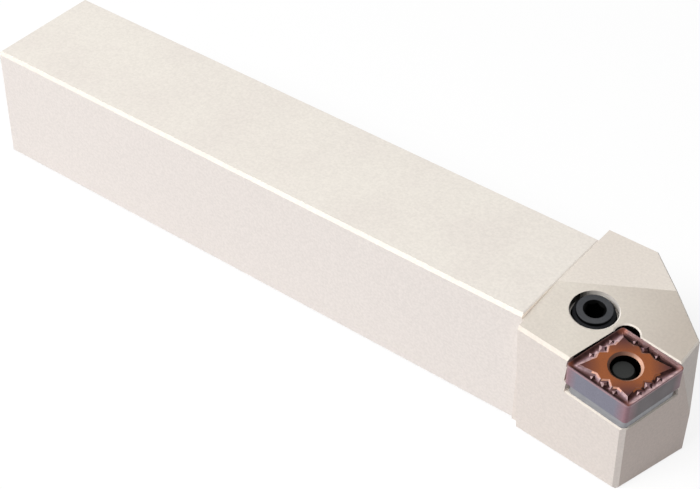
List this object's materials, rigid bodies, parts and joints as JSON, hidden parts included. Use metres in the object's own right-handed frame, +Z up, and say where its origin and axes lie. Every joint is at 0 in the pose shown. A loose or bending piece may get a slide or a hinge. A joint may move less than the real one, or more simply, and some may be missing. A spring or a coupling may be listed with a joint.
{
  "type": "turning tool holder",
  "caption": "Square-shank external turning tool holder with a lever-clamped rhombic carbide insert on its blunt corner.",
  "frame": {"origin": "middle of the shank's bottom face", "axes": "+X along the shank towards the cutting head, +Z up, -Y the side that the cutting corner stands out of"},
  "size_m": [0.1525, 0.0331, 0.025],
  "materials": {
    "plated_steel": "satin nickel plate over blasted steel",
    "coated_carbide": "copper-brown hard coating",
    "bare_carbide": "ground grey carbide",
    "spring_steel": "blued spring steel",
    "hardened_steel": "hardened, dark",
    "black_steel": "black oxide"
  },
  "bodies": {
    "holder": {"holder_body": "plated_steel", "shim": "bare_carbide", "shim_pin": "spring_steel"},
    "cutting_insert": {"insert": "coated_carbide"},
    "clamp_lever": {"lever": "hardened_steel"},
    "clamp_screw": {"lever_screw": "black_steel"}
  },
  "joints": [
    {"name": "insert_lift", "type": "slide", "parent": "holder", "child": "cutting_insert", "axis": [0.0734, -0.1279, 0.9891], "range_m": [0, 0.008]},
    {"name": "screw_travel", "type": "slide", "parent": "holder", "child": "clamp_screw", "axis": [0.0734, -0.1279, 0.9891], "range_m": [0, 0.001]},
    {"name": "lever_tilt", "type": "hinge", "parent": "holder", "child": "clamp_lever", "pos_m": [0.08057, -0.0087, 0.01006], "axis": [0.5753, 0.8155, 0.0628], "range_deg": [0, 4.42]}
  ],
  "couplings": [
    {"joint": "lever_tilt", "follows": "screw_travel", "rad_per_m": 76.79}
  ]
}
